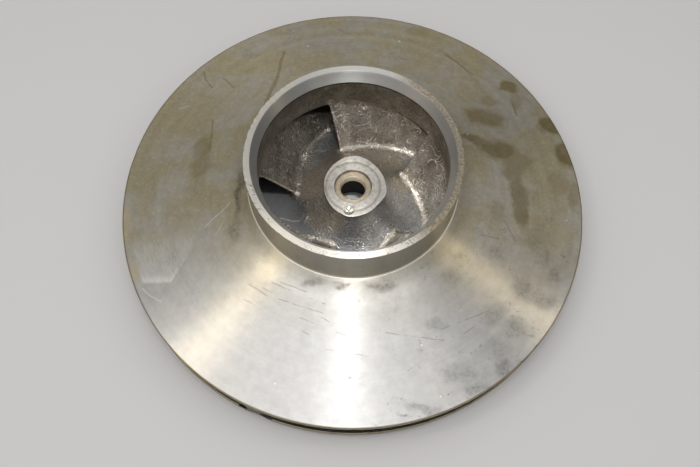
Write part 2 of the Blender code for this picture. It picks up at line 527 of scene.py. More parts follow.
def newMetal(name, roughness, metallic=1.0):
    material = bpy.data.materials.new(name)
    material.use_nodes = True
    shader = material.node_tree.nodes["Principled BSDF"]
    feedAll(shader, ("Roughness", "Metallic"), (roughness, metallic))
    return material, bodyPlace(material.node_tree), shader


def dress(shader, tone, dull, height, strength, depth, streaking=0.0):
    relief = addNode(height.tree, "ShaderNodeBump")
    feedAll(relief, ("Height", "Strength", "Distance"), (height, strength, depth))
    feedAll(shader, ("Base Color", "Roughness", "Normal"), (tone, dull, Wire(relief.outputs[0])))
    if streaking:
        # lathe rings spread a highlight across themselves, so it runs out along the radius
        around = addNode(height.tree, "ShaderNodeTangent", direction_type="RADIAL", axis="Z")
        names = ("Anisotropic", "Anisotropic Rotation", "Tangent")
        feedAll(shader, names, (streaking, 0.25, Wire(around.outputs[0])))


coneFinish = {
    "steel": (0.60, 0.595, 0.585),
    "filmAndShade": (0.50, 0.44, 0.29),
    "spill": (0.27, 0.21, 0.090),
    "warmReflection": (0.68, 0.55, 0.34),
    "rimTone": (0.20, 0.145, 0.075),
    "grimeAndShadeTone": (0.16, 0.155, 0.14),
    "paleFleckAndShine": (0.92, 0.91, 0.88),
    "gloss": 0.345,
    "streaking": 0.92,
    "filmAndShadeFrom": (-0.115, -0.005),     # the film and its painted shade come in between these places along Y
    "grimeSide": (315, 22, 34),       # direction, half width and easing of the grimy side
    "shadedSide": (64, 30, 34),         # and of the side painted darker as shade
    "footShadeAndDull": (0.003, 0.017),       # reach of the corner beyond the collar that gets painted shade and stays dull
    "footGloss": (0.010, 0.024),      # and of the glossier ring round it
    "rimLine": (0.0013, 0.0006),      # where the rim's brown line starts and is full, in from the rim
    # The lists of marks down to paleCuts are in degrees and millimetres.
    # spill marks: direction, radius, half size in X and Y, strength
    "spills": [
        (32, 114.3, 20.5, 10.4, 0.70), (25, 94.0, 11.0, 5.0, 0.70), (17, 110.0, 17.0, 9.5, 0.74),
        (21, 101.0, 12.0, 6.2, 0.60), (12, 121.0, 13.0, 12.0, 0.42), (8, 116.0, 8.0, 13.0, 0.50),
        (4, 148.0, 9.0, 12.0, 0.28), (39, 153.0, 9.5, 7.0, 0.85), (34, 149.0, 6.5, 12.0, 0.42),
        (23, 162.0, 11.5, 10.0, 0.80), (13, 161.0, 8.5, 12.5, 0.80), (357, 117.2, 7.0, 26.0, 0.62),
        (37, 129.0, 10.0, 6.6, 0.45), (1, 160.0, 6.0, 15.0, 0.35), (72, 155.2, 10.0, 7.5, 0.40),
        (164, 114.0, 10.0, 12.5, 0.42), (172, 108.4, 9.0, 12.0, 0.34), (350, 102.0, 6.0, 12.0, 0.25),
    ],
    # soft brown and grey clouds of grime, those along the collar's foot also painted shade: direction,
    # radius, half size in X and Y, strength
    "clouds": [
        (124, 149.4, 12.0, 10.0, 0.55), (110, 150.0, 7.0, 13.0, 0.45), (93, 147.5, 17.0, 15.0, 0.55),
        (90, 124.0, 8.5, 14.0, 0.35), (189, 79.0, 4.8, 26.0, 0.85), (205, 88.0, 9.0, 13.0, 0.55),
        (252, 78.5, 13.0, 4.5, 0.55), (264, 78.2, 9.0, 3.6, 0.50), (283, 78.5, 15.0, 4.2, 0.50),
        (337, 151.6, 9.0, 12.0, 0.50), (329, 152.2, 12.0, 10.0, 0.45), (311, 149.6, 15.0, 11.0, 0.40),
        (300, 150.0, 16.0, 9.0, 0.35), (309, 160.0, 10.0, 7.0, 0.60), (299, 113.7, 12.0, 6.0, 0.35),
        (313, 95.7, 11.0, 9.0, 0.35), (345, 132.0, 12.0, 17.0, 0.35), (203, 131.6, 11.0, 10.0, 0.30),
        (322, 86.0, 6.0, 6.0, 0.40), (333, 108.0, 11.0, 12.0, 0.40), (316, 130.0, 14.0, 12.0, 0.45),
        (328, 137.0, 13.0, 16.0, 0.50), (318, 147.0, 15.0, 10.0, 0.42), (340, 140.0, 8.0, 10.0, 0.35),
        (287, 159.2, 18.0, 4.5, 0.40), (300, 160.0, 15.0, 6.0, 0.45), (297, 145.2, 15.0, 9.0, 0.32),
    ],
    # runs: start direction and radius, end direction and radius, width
    "runs": [
        (114.5, 134.0, 122, 110.6, 1.7), (122, 110.6, 134, 93.5, 2.3), (123.5, 108.0, 136, 92.5, 1.2),
        (138, 159.0, 140, 149.0, 0.9), (139.6, 149.8, 141, 140.0, 0.8), (136, 140.8, 136.6, 124.7, 0.8),
        (152, 118.2, 165, 107.2, 0.9), (60, 143.0, 49, 138.4, 1.6), (33, 144.0, 29, 140.0, 1.0),
    ],
    # dark scratches and pale ones, given like the runs
    "nicks": [
        (233, 97.6, 262, 100.9, 0.5), (235, 91.4, 259, 90.5, 0.6), (230, 110.2, 256, 111.2, 0.4),
        (241, 97.8, 259, 96.3, 0.5), (251, 103.0, 268, 108.0, 0.4), (228, 101.0, 236, 100.0, 0.5),
        (238, 88.0, 250, 86.2, 0.5), (282, 108.4, 299, 124.9, 0.5), (300, 117.9, 316, 127.0, 0.5),
        (286, 134.0, 309, 128.0, 0.4), (337, 95.0, 339, 107.0, 0.4), (262, 118.0, 275, 121.0, 0.3),
        (347, 108.0, 341, 119.0, 0.5), (74, 121.0, 70, 120.0, 0.7),
    ],
    "paleCuts": [
        (198, 106.5, 191.7, 86.2, 0.6), (203, 101.0, 199, 93.0, 0.4), (152, 150.0, 150, 144.0, 0.6),
        (209.9, 141.0, 207.0, 133.0, 0.5), (207.6, 160.0, 211.0, 156.5, 0.7),
        (211.0, 156.0, 213.0, 153.0, 0.6),
    ],
    # a fan of brushed metal on the near left: its corners as pixels of the photo, the lower left one first,
    # and how soft each edge is, starting with the one from that corner; the fifth side stays open
    "brushedCorners": [(137, 283), (171, 282), (188, 255), (196, 234), (135, 244)],
    "brushedEdges": [0.0012, 0.0005, 0.0022, 0.0080],
    "brushedReach": (0.1575, 0.1600),
    "brushStroke": (0.92, 0.38, 0.0),
    "strokeRates": (1400.0, 110.0),
    "paintedShineDepth": 0.0065,             # a painted highlight runs this far up from the fan's lower edge
    # a painted warm reflection on the left rim, in degrees and millimetres: direction, radius, half size in X
    # and Y, strength
    "warmReflectionPatches": [(190, 164.0, 7.5, 26.0, 0.65), (203, 164.0, 7.5, 15.0, 0.60)],
}


def conePatches(place, marks, feather, edges=0.0):
    masks = []
    for direction, radius, wide, deep, strength in marks:
        centre = onSurface(coneHeight, direction, radius / 1000)
        mark = useGroup(place.tree, stainPatch, Place=place, Centre=centre,
                        Size=(wide / 1000, deep / 1000, 0.03), Feather=feather)
        mask = mark["Mask"] + mark["Edge"] * edges if edges else mark["Mask"]
        masks.append(mask * strength)
    return anyOf(masks)


def lines(place, marks, heightAt=coneHeight):
    masks = []
    for direction, radius, endDirection, endRadius, width in marks:
        start = onSurface(heightAt, direction, radius / 1000)
        end = onSurface(heightAt, endDirection, endRadius / 1000)
        mark = useGroup(place.tree, scratch, Place=place, From=start, To=end, Width=width / 1000)
        masks.append(mark["Mask"])
    return anyOf(masks)


def brushedFan(bent, look):
    # 1 inside the fan, seen from above, and the strength of its painted highlight
    corners = [seenOn(coneHeight, *pixel) for pixel in look["brushedCorners"]]
    inside = remap(flat(bodyPlace(bent.tree)).length(), *look["brushedReach"], 1.0, 0.0)
    for start, end, soft in zip(corners, corners[1:], look["brushedEdges"]):
        along = Vector((end[0] - start[0], end[1] - start[1])).normalized()
        left = (bent - (start[0], start[1], 0.0)).dot((-along.y, along.x, 0.0))
        inside = inside * remap(left, -soft, soft)
    bottom = corners[0][1]
    paintedShine = 1.0 - remap(bent.dot((0.0, 1.0, 0.0)), bottom, bottom + look["paintedShineDepth"])
    return inside, paintedShine


def makeConeFinish():
    look = coneFinish
    material, place, shader = newMetal("turnedSteel", look["gloss"])
    rings = useGroup(place.tree, latheLines, Rings=1500.0, Bands=130.0, Fade=0.6)
    handled = useGroup(place.tree, smudges, Size=36.0, Cover=0.5)
    torn = raggedPlace(place, 62.0, 0.019, 6.0)
    frayed = raggedPlace(place, 120.0, 0.0016)
    mottle = cloud(place, 150.0, 6.0, 0.7)
    reach = flat(place).length()

    # an oily film lies everywhere but on the near side; part of its darker, warmer tone is painted shade and
    # painted warm reflection
    far = remap(axes(place)[1], *look["filmAndShadeFrom"])
    filmAndShade = far * remap(cloud(place, 24.0, 6.0, 0.62, 0.5), 0.36, 0.62, 0.50, 1.08)
    tone = blend(filmAndShade, look["steel"], look["filmAndShade"])
    tone = shaded(tone, mottle, 0.3, 0.7, 0.90, 1.09)
    # painted reflection: the warm lamps' golden tint on the left rim
    warmReflection = conePatches(raggedPlace(place, 40.0, 0.008), look["warmReflectionPatches"], 0.7)
    tone = blend(warmReflection * remap(mottle, 0.3, 0.6, 0.7, 1.1), tone, look["warmReflection"])
    salt = remap(cloud(place, 430.0, 4.0, 0.65), 0.50, 0.68) * far * 0.16
    tone = blend(salt, tone, look["paleFleckAndShine"])

    spilt = conePatches(torn, look["spills"], 0.45, 0.22) * remap(mottle, 0.3, 0.7, 0.80, 1.12)
    tone = blend(spilt, tone, look["spill"])
    runs = lines(raggedPlace(place, 90.0, 0.003), look["runs"])
    tone = blend(runs * 0.5, tone, look["spill"])

    # dark grime gathers in soft clouds, with flecks in them; the clouds along the collar's foot also stand in
    # as painted shade
    grit = remap(cloud(place, 420.0, 5.0, 0.75), 0.44, 0.62)
    heavy = conePatches(torn, look["clouds"], 0.85) * (grit * 0.50 + 0.40)
    nearRight = facing(place, *look["grimeSide"])
    flecks = handled["Flecks"] * (nearRight * 0.65 + 0.10)
    veil = handled["Cloud"] * (nearRight * 0.30 + 0.06)
    grimeAndShade = anyOf([heavy, flecks, veil])
    cuts = lines(frayed, look["nicks"])
    tone = blend(anyOf([grimeAndShade, cuts * 0.42]), tone, look["grimeAndShadeTone"])
    tone = blend(lines(frayed, look["paleCuts"]) * 0.45, tone, look["paleFleckAndShine"])

    # painted shade: the far right is darkened
    tone = shaded(tone, facing(place, *look["shadedSide"]), 0.0, 1.0, 1.0, 0.72)

    # painted shade: the corner at the collar's foot is darkened, and stays dull
    corner = remap(reach, *[casting["collar"] + part for part in look["footShadeAndDull"]], 1.0, 0.0)
    tone = shaded(tone, corner, 0.0, 1.0, 1.0, 0.84)
    rimLine = remap(reach, *[casting["rim"] - part for part in look["rimLine"]])
    tone = blend(rimLine * 0.8, tone, look["rimTone"])
    tone = shaded(tone, rings["Tone"], 0.3, 0.7, 0.90, 1.05)

    # a fan of brushed metal, laid over the turning marks, with a painted highlight along its lower edge
    brushed, paintedShine = brushedFan(raggedPlace(place, 30.0, 0.004), look)
    across = Vector(look["brushStroke"])
    acrossRate, alongRate = look["strokeRates"]
    alongStroke = place.dot((-across.y, across.x, 0.0)) * alongRate
    strokePlace = joined(place.dot(tuple(across)) * acrossRate, alongStroke)
    strokes = cloud(strokePlace, 1.0, 3.0, 0.5)
    strokesAndPaintedShine = brushed * (remap(strokes, 0.35, 0.65, 0.10, 0.34) + paintedShine * strokes * 0.9)
    tone = blend(strokesAndPaintedShine, tone, look["paleFleckAndShine"])

    # bright dust and dings
    dots = addNode(place.tree, "ShaderNodeTexVoronoi", feature="F1")
    feedAll(dots, ("Vector", "Scale"), (place, 85.0))
    rare = addNode(place.tree, "ShaderNodeSeparateColor")
    feed(rare.inputs[0], Wire(dots.outputs["Color"]))
    chosen = Wire(rare.outputs[0])
    picked = chosen.math("GREATER_THAN", chosen, 0.82)
    specks = remap(Wire(dots.outputs["Distance"]), 0.04, 0.08, 1.0, 0.0) * picked
    tone = blend(specks * 0.8, tone, look["paleFleckAndShine"])

    nearFoot = remap(reach, *[casting["collar"] + part for part in look["footGloss"]], -0.10, 0.0)
    turned = remap(rings["Tone"], 0.3, 0.7, -0.03, 0.04, smooth=False)
    dull = filmAndShade * 0.08 + spilt * 0.20 + grimeAndShade * 0.35 + corner * 0.10 + brushed * -0.05 + nearFoot + turned
    height = rings["Height"] - cuts + (strokes - 0.5) * brushed * 2.0
    dress(shader, tone, dull + look["gloss"], height, 0.22, 0.00006, look["streaking"])
    return material


faceFinish = {
    # gloss, clean tone, worn tone, rings per metre, wear, streaking
    "collarSteel": (0.36, (0.64, 0.63, 0.60), (0.40, 0.37, 0.31), 2200.0, 0.45, 0.80),
    "leadInSteel": (0.33, (0.58, 0.575, 0.56), (0.36, 0.34, 0.29), 1700.0, 0.50, 1.0),
    "wallSteel": (0.25, (0.51, 0.48, 0.415), (0.40, 0.36, 0.28), 1500.0, 0.45, 0.85),
    # the next finish is painted bright and golden: a painted highlight along the fillet at the collar's foot
    "footSteelPaintedHighlight": (0.38, (1.0, 0.95, 0.83), (0.66, 0.62, 0.52), 1500.0, 0.25, 0.30),
    "bossSteel": (0.46, (0.56, 0.54, 0.50), (0.36, 0.335, 0.29), 2600.0, 0.75, 0.40),
    "drillSteel": (0.30, (0.86, 0.82, 0.72), (0.66, 0.58, 0.42), 2600.0, 0.3, 0.0),
    "edgeSteel": (0.40, (0.36, 0.31, 0.21), (0.15, 0.125, 0.08), 2600.0, 0.6, 0.50),
    "rearSteel": (0.34, (0.58, 0.57, 0.55), (0.40, 0.37, 0.32), 900.0, 0.4, 0.60),
    # the next two are painted lit and shaded copies of the bore's metal: the upper thread turns bright and
    # golden, the bore and its deep turns nearly black
    "threadSteelPaintedLit": (0.36, (0.90, 0.82, 0.64), (0.55, 0.45, 0.28), 1800.0, 0.3, 0.40),
    "boreSteelPaintedShade": (0.60, (0.045, 0.040, 0.036), (0.020, 0.018, 0.016), 1800.0, 0.5, 0.0),
}

bossDirtAndShade = {
    "tone": (0.17, 0.145, 0.11),
    "recessTone": (0.50, 0.42, 0.31),
    # rings of the boss face darkened by dirt and painted shade: radius, half width, strength
    "rings": [(0.0131, 0.0004, 0.85), (0.0192, 0.0013, 0.50)],
    "dimpleEdge": 0.0035,
    "dimpleRing": 0.00045,
    "recess": 0.0129,
}

collarWear = {
    "chalk": (0.76, 0.72, 0.64),      # raw metal of the knocked side
    "crust": (0.33, 0.27, 0.17),      # brown and pitted on the other side
    "dark": (0.12, 0.11, 0.10),
    # direction, half width and easing of each
    "chalkAt": [(182, 48, 14), (262, 40, 22)],
    "crustAt": [(4, 48, 18)],
    "scoredAt": [(210, 11, 5), (303, 16, 8), (262, 12, 8)],
}


def bossMarks(place, tone):
    # the recess floor is tanned; dirt and painted shade darken its edge, the groove and the rim of the drill
    # point
    look = bossDirtAndShade
    reach = flat(place).length()
    tone = blend(remap(reach, look["recess"] - 0.0003, look["recess"], 0.9, 0.0), tone, look["recessTone"])
    patchy = remap(cloud(place, 160.0, 4.0), 0.3, 0.6, 0.5, 1.0)
    tone = shaded(tone, cloud(place, 420.0, 5.0), 0.3, 0.7, 0.74, 1.10)
    for radius, half, strength in look["rings"]:
        ring = remap(abs(reach - radius), half * 0.3, half, strength, 0.0) * patchy
        tone = blend(ring, tone, look["tone"])
    off = place.math("DISTANCE", place, (*polar(*casting["dimple"]), casting["bossTop"]))
    start, ring = look["dimpleEdge"], look["dimpleRing"]
    return blend(remap(off, start + ring * 0.4, start + ring, 0.75, 0.0), tone, look["tone"])


def collarMarks(place, tone):
    # the top face is chalky where it was knocked, crusted brown on the other side and scored
    look = collarWear
    grit = cloud(place, 520.0, 5.0, 0.7)
    chalk = facingAny(place, look["chalkAt"]) * remap(grit, 0.30, 0.50, 0.25, 0.95)
    tone = blend(chalk, tone, look["chalk"])
    crust = facingAny(place, look["crustAt"]) * remap(grit, 0.40, 0.62, 1.0, 0.45)
    tone = blend(crust, tone, look["crust"])
    chips = remap(cloud(place, 560.0, 3.0, 0.6, 1.5), 0.55, 0.63, 0.0, 0.85)
    groups = remap(cloud(place, 120.0, 2.0), 0.44, 0.56)
    return blend(facingAny(place, look["scoredAt"]) * chips * groups, tone, look["dark"])


def drillWedges(place):
    # wedges round the drill point, which catch the light one by one
    x, y, z = axes(place - (*polar(*casting["dimple"]), 0.0))
    wave = y.math("ARCTAN2", y, x) * 3.0
    return wave.math("SINE", wave) * 0.5 + 0.5


def makeFaceFinish(name):
    gloss, clean, worn, ringRate, wear, streaking = faceFinish[name]
    material, place, shader = newMetal(name, gloss)
    rings = useGroup(place.tree, latheLines, Rings=ringRate, Bands=260.0, Fade=0.5)
    marks = useGroup(place.tree, smudges, Size=85.0, Cover=wear)
    used = anyOf([marks["Cloud"] * wear, marks["Flecks"] * wear])
    tone = blend(used, clean, worn)
    if name == "bossSteel":
        tone = bossMarks(place, tone)
    if name == "collarSteel":
        tone = collarMarks(place, tone)
    tone = shaded(tone, rings["Tone"], 0.3, 0.7, 0.88, 1.05)
    relief = (drillWedges(place), 0.8, 0.0006) if name == "drillSteel" else (rings["Height"], 0.3, 0.00008)
    dress(shader, tone, used * 0.2 + gloss, *relief, streaking)
    return material


castFinish = {
    # gloss, dark tone, light tone, scratch tone, mottle per metre, scratch strength, relief
    "vaneSteel": (
        0.36, (0.21, 0.188, 0.158), (0.42, 0.386, 0.338), (0.92, 0.86, 0.76), 75.0, 0.90, 0.0010),
    "floorSteel": (
        0.33, (0.30, 0.300, 0.305), (0.44, 0.445, 0.455), (0.80, 0.78, 0.75), 60.0, 0.30, 0.0009),
    "throatSteel": (
        0.42, (0.18, 0.158, 0.130), (0.32, 0.288, 0.245), (0.60, 0.55, 0.47), 90.0, 0.35, 0.0009),
}

dressedBell = {
    "tone": (0.40, 0.345, 0.27),
    "smooth": (0.265, 0.270, 0.285),
    "smoothSide": (198, 26, 30),           # direction, half width and easing
    "smoothFrom": (0.036, 0.048),          # radius where the smooth part starts and is full
    "smoothGloss": 0.62,
    # pale scores, in degrees and millimetres: start and end by direction and radius, width
    "scores": [
        (194.1, 54.3, 202.0, 46.0, 0.6), (202.0, 46.0, 205.1, 42.3, 0.7),
        (199.8, 58.5, 203.2, 50.0, 0.5),
    ],
    # browned places of the floor: direction, radius, reach
    "spots": [
        (160, 0.022, 0.024), (215, 0.020, 0.022), (100, 0.030, 0.022), (62, 0.038, 0.024), (30, 0.034, 0.016),
    ],
}


def brownedBell(place):
    # where the bell near the boss is dressed by hand and browned
    ragged = raggedPlace(place, 75.0, 0.006)
    spots = []
    for direction, radius, reach in dressedBell["spots"]:
        centre = (*polar(direction, radius), float(floorHeight(radius + 0.008)))
        spots.append(useGroup(place.tree, stainPatch, Place=ragged, Centre=centre,
                              Size=(reach, reach, reach * 2), Feather=0.35)["Mask"])
    return anyOf(spots) * 0.75


def makeCastFinish(name):
    look = dressedBell
    gloss, dark, light, scratchTone, mottle, scratched, relief = castFinish[name]
    material, place, shader = newMetal(name, gloss, 0.9)
    skin = useGroup(place.tree, castSkin, Mottle=mottle, Scratches=95.0, Grain=780.0)
    tone = blend(remap(skin["Tone"], 0.34, 0.66), dark, light)
    if name == "floorSteel":
        tone = blend(brownedBell(place), tone, look["tone"])
    tone = blend(skin["Scratches"] * scratched, tone, scratchTone)
    tone = shaded(tone, skin["Grain"], 0.3, 0.7, 0.68, 1.30)
    height = skin["Height"]
    dull = remap(skin["Tone"], 0.3, 0.7, gloss + 0.07, gloss - 0.07) - skin["Scratches"] * 0.08
    if name == "floorSteel":
        # smoother, paler and duller towards one side
        pale = facing(place, *look["smoothSide"]) * remap(flat(place).length(), *look["smoothFrom"]) * 0.80
        tone = blend(pale, tone, look["smooth"])
        scores = lines(raggedPlace(place, 300.0, 0.0010), look["scores"], floorHeight)
        tone = blend(scores * 0.55, tone, scratchTone)
        height = height * (1.0 - pale)
        dull = dull * (1.0 - pale) + pale * look["smoothGloss"]
    if name == "throatSteel":
        # painted shade: the step under the machined mouth is darkened, as an undercut's shadow
        step = casting["leadInBottom"] - 0.0022
        tone = shaded(tone, axes(place)[2], step, step + 0.0014, 1.0, 0.35, smooth=True)
    else:
        # painted shade: the waterways beyond the eye are darkened towards black, along a slanted line like
        # the lip's shadow
        beyond = flat(place).length() - (casting["lipHeight"] - axes(place)[2]) * 0.30
        tone = shaded(tone, beyond, casting["lip"] + 0.0010, casting["lip"] + 0.0030, 1.0, 0.12, smooth=True)
    dress(shader, tone, dull, height, 0.8, relief)
    return material


finishes = {"turnedSteel": makeConeFinish()}
for finishName in faceFinish:
    finishes[finishName] = makeFaceFinish(finishName)
for finishName in castFinish:
    finishes[finishName] = makeCastFinish(finishName)
print("finishes made:", len(finishes))


# Turned pieces

def turnedPiece(name, strips, shape):
    # strips: (finish, points) in order round the section, running down its outer side
    points = []
    strip = []
    used = []
    for finish, line in strips:
        if finish not in used:
            used.append(finish)
        for point in line:
            if points and math.dist(points[-1], point) < 0.00001:
                strip[-1] = used.index(finish)
                continue
            points.append(point)
            strip.append(used.index(finish))
    steps = casting["turns"]
    places = []
    for step in range(steps):
        angle = 360.0 * step / steps
        for radius, height in points:
            radius, height = shape(radius, height, angle)
            places.append((*polar(angle, radius), height))
    count = len(points)
    faces = []
    slots = []
    for step in range(steps):
        here, there = step * count, (step + 1) % steps * count
        for i in range(count):
            j = (i + 1) % count
            faces.append((here + i, here + j, there + j, there + i))
            slots.append(strip[i])
    mesh = bpy.data.meshes.new(name)
    mesh.from_pydata(places, [], faces)
    for finish in used:
        mesh.materials.append(finishes[finish])
    mesh.polygons.foreach_set("material_index", slots)
    mesh.shade_smooth()
    mesh.set_sharp_from_angle(angle=math.radians(28))
    return addObject(name, mesh)


def seat(piece, node):
    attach(piece, "root")
    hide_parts(node)


shroud = {
    "footRound": 0.0012,
    "edgeRound": 0.0006,
    "rimNick": 0.00025,
    "nickReach": 0.0012,      # how far in from the rim the nicks reach
}


def frontShroudStrips():
    rim, collar, seam = casting["rim"], casting["collar"], casting["collarSeam"]
    size, edge = shroud["footRound"], shroud["edgeRound"]
    centre = collar + size
    footEnd = 270 - math.degrees(math.atan(coneSlopeAt(centre)))
    start = centre + size * math.cos(math.radians(footEnd))
    lift = coneHeight(start) - size * math.sin(math.radians(footEnd))
    wall = [(collar, h) for h in spread(seam, lift, 5)]
    foot = arc((centre, lift), size, 180, footEnd, 9)
    cone = [(r, coneHeight(r)) for r in spread(start, rim - edge, 46)]
    top = coneHeight(rim)
    corner = arc((rim - edge, coneHeight(rim - edge) - edge), edge, 80, 0, 4)
    bottom = top - casting["frontEdge"]
    face = [(rim, top - edge * 2), (rim, bottom + edge)]
    under = arc((rim - edge, roofHeight(rim - edge) + edge), edge, 0, -78, 4)
    lip = lipArc(12)
    roof = [(r, roofHeight(r)) for r in spread(rim - edge, lip[-1][0], 40)]
    throat = [(throatRadius(h), h) for h in spread(casting["lipHeight"], seam, 3)]
    return [("wallSteel", wall), ("footSteelPaintedHighlight", foot), ("turnedSteel", cone),
            ("edgeSteel", corner + face + under),
            ("throatSteel", roof + lip[::-1] + throat + [(collar, seam)])]


def frontShroudShape(radius, height, angle):
    # the rim is a little worn and dinged
    if radius > casting["rim"] - shroud["nickReach"]:
        wear = noise.noise(Vector((*polar(angle, 30), height * 300)))
        radius -= shroud["rimNick"] * max(0.0, wear)
    return radius, height


frontShroud = turnedPiece("frontShroud", frontShroudStrips(), frontShroudShape)
seat(frontShroud, "front_shroud")
print("front shroud turned")


collarLook = {
    "mouth": 0.0678,
    "edgeRound": 0.0004,
    "tornReach": 0.003,       # how far the torn places reach in and down from the outer top edge
    # torn places of that edge: direction, width, depth
    "torn": [(150, 34, 0.0012), (172, 16, 0.0010), (196, 18, 0.0009), (236, 22, 0.0005), (20, 44, 0.0005)],
}


def eyeCollarStrips():
    collar, top, seam = casting["collar"], casting["collarTop"], casting["collarSeam"]
    mouth, edge = collarLook["mouth"], collarLook["edgeRound"]
    outer = arc((collar - edge, top - edge), edge, 90, 0, 4)
    wall = [(collar, h) for h in spread(top - edge, seam, 16)]
    inside = [(throatRadius(h), h) for h in spread(seam, casting["leadInBottom"], 9)]
    leadIn = list(zip(spread(casting["throat"], mouth, 7), spread(casting["leadInBottom"], top - edge, 7)))
    face = [(r, top) for r in spread(mouth + edge, collar - edge, 9)]
    return [("collarSteel", outer), ("wallSteel", wall), ("throatSteel", [(collar, seam)] + inside),
            ("leadInSteel", leadIn), ("collarSteel", face)]


def tornDepth(angle):
    depth = 0.0
    for centre, width, deepest in collarLook["torn"]:
        depth = max(depth, deepest * bump(angle, centre, width))
    return depth


def eyeCollarShape(radius, height, angle):
    top, outer, reach = casting["collarTop"], casting["collar"], collarLook["tornReach"]
    if height > top - reach and radius > outer - reach:
        spot = Vector((*polar(angle, 26), 0.0))
        chew = noise.noise(spot) * 0.5 + noise.noise(spot * 3.1) * 0.35 + noise.noise(spot * 7.3) * 0.25
        bite = max(0.0, chew + 0.12) * tornDepth(angle)
        near = min(1.0, (radius - outer + reach) / reach)
        low = min(1.0, (height - top + reach) / reach)
        radius -= bite * 1.6 * near * low
        height -= bite * 0.5 * near * low
    return radius, height


eyeCollar = turnedPiece("eyeCollar", eyeCollarStrips(), eyeCollarShape)
seat(eyeCollar, "eye_collar")
print("eye collar turned")


backLook = {
    "edgeRound": 0.0006,
    "closeRows": 0.09,        # inside this radius the floor's rows lie closer
    # shallow balancing cuts in the rim: direction
    "balanceCuts": [248.5, 317.0],
    "cutterRadius": 0.012,
    "cutDepth": 0.0015,
}


def backShroudStrips():
    rim, face, seam, edge = casting["rim"], casting["backFace"], casting["hubSeam"], backLook["edgeRound"]
    middle = backLook["closeRows"]
    floor = [(r, floorHeight(r)) for r in spread(seam, middle, 60) + spread(middle, rim - edge, 30)[1:]]
    upper = arc((rim - edge, floorHeight(rim) - edge), edge, 88, 0, 4)
    lower = arc((rim - edge, face + edge), edge, 0, -90, 4)
    back = [(r, face) for r in spread(rim - edge, seam, 30)]
    back.append((seam, floorHeight(seam)))
    return [("floorSteel", floor), ("edgeSteel", upper + lower), ("rearSteel", back)]


def backShroudShape(radius, height, angle):
    # the milled cuts take the rim in along the cutter's arc
    rim, cutter = casting["rim"], backLook["cutterRadius"]
    for cutAngle in backLook["balanceCuts"]:
        turn = math.radians((angle - cutAngle + 180) % 360 - 180)
        centre = rim + cutter - backLook["cutDepth"]
        across = centre * math.sin(turn)
        if abs(turn) < 0.3 and abs(across) < cutter:
            limit = centre * math.cos(turn) - math.sqrt(cutter ** 2 - across ** 2)
            if radius > limit:
                radius = limit
    return radius, height


backShroud = turnedPiece("backShroud", backShroudStrips(), backShroudShape)
seat(backShroud, "back_shroud")
print("back shroud turned")


hubLook = {
    "rearBoss": 0.036,
    "bore": 0.0175,
    "boreDepth": 0.032,
    "hole": 0.0088,
    "counterbore": 0.0129,
    "counterboreDepth": 0.003,
    "groove": 0.0192,
    "grooveWidth": 0.0022,
    "grooveDepth": 0.00009,
    "edgeRound": 0.0004,
    "threadPitch": 0.0024,
    "threadDepth": 0.0006,
    # the turned face breaks out of the bell unevenly: direction and radius in millimetres
    "outline": [
        (6, 23.5), (27, 22.9), (52, 23.1), (64, 24.1), (76, 24.8), (89, 25.1), (105, 24.2), (124, 22.6),
        (144, 21.5), (164, 20.8), (186, 20.3), (213, 21.0), (233, 22.3), (251, 23.1), (262, 24.2),
        (280, 23.5), (298, 23.2), (320, 22.5), (332, 23.0), (342, 23.9), (350, 24.2), (358, 23.6),
    ],
    "outlineReach": 0.011,    # how far beyond the boss the bell follows its outline
    "keyWidth": 0.010,
    "keyDepth": 0.0033,
    "dimple": 0.0035,
    "dimpleDepth": 0.0021,
}


def hubStrips():
    look = hubLook
    top, face, edge = casting["bossTop"], casting["backFace"], look["edgeRound"]
    boss, seam = casting["boss"], casting["hubSeam"]
    shoulder = top - look["counterboreDepth"]
    grooveIn, grooveOut = look["groove"] - look["grooveWidth"] / 2, look["groove"] + look["grooveWidth"] / 2
    grooveFloor = top - look["grooveDepth"]
    mouth = arc((look["counterbore"] + edge, top - edge), edge, 180, 90, 3)
    inner = mouth + [(r, top) for r in spread(look["counterbore"] + edge * 2, grooveIn, 6)]
    groove = [(grooveIn + 0.0006, grooveFloor), (grooveOut - 0.0006, grooveFloor)]
    outer = [(r, top) for r in spread(grooveOut, boss - edge, 5)]
    outer += arc((boss - edge, top - edge), edge, 80, 0, 3)
    foot = floorHeight(boss)
    side = [(boss, h) for h in spread(top - edge * 1.5, foot + 0.0006, 3)] + [(boss + 0.0004, foot - 0.0002)]
    bell = [(r, floorHeight(r)) for r in spread(boss + 0.0012, seam, 34)]
    rear = [(look["rearBoss"], face), (look["rearBoss"], edge), (look["rearBoss"] - edge, 0.0)] + \
           [(r, 0.0) for r in spread(look["rearBoss"] - 0.002, look["bore"] + edge, 6)]
    bore = [(look["bore"], edge), (look["bore"], look["boreDepth"] - edge)]
    step = [(look["bore"] - edge, look["boreDepth"]), (look["hole"] + edge, look["boreDepth"])]
    thread = []
    height = look["boreDepth"] + edge
    while height < shoulder - edge - look["threadPitch"]:
        thread.append((look["hole"], height))
        thread.append((look["hole"] + look["threadDepth"], height + look["threadPitch"] * 0.28))
        thread.append((look["hole"] + look["threadDepth"] * 0.9, height + look["threadPitch"] * 0.45))
        height += look["threadPitch"]
    thread.append((look["hole"], height))
    ledge = [(look["hole"] + 0.0007, shoulder), (look["counterbore"] - 0.0003, shoulder),
             (look["counterbore"], shoulder + 0.0003), (look["counterbore"], top - edge)]
    # the bore and its lowest thread turns take the painted shaded copy, the upper turns the painted lit one
    return [("bossSteel", inner + groove + outer), ("floorSteel", side + bell),
            ("rearSteel", [(seam, face)] + rear), ("boreSteelPaintedShade", bore + step + thread[:3]),
            ("threadSteelPaintedLit", thread[3:]), ("bossSteel", ledge)]


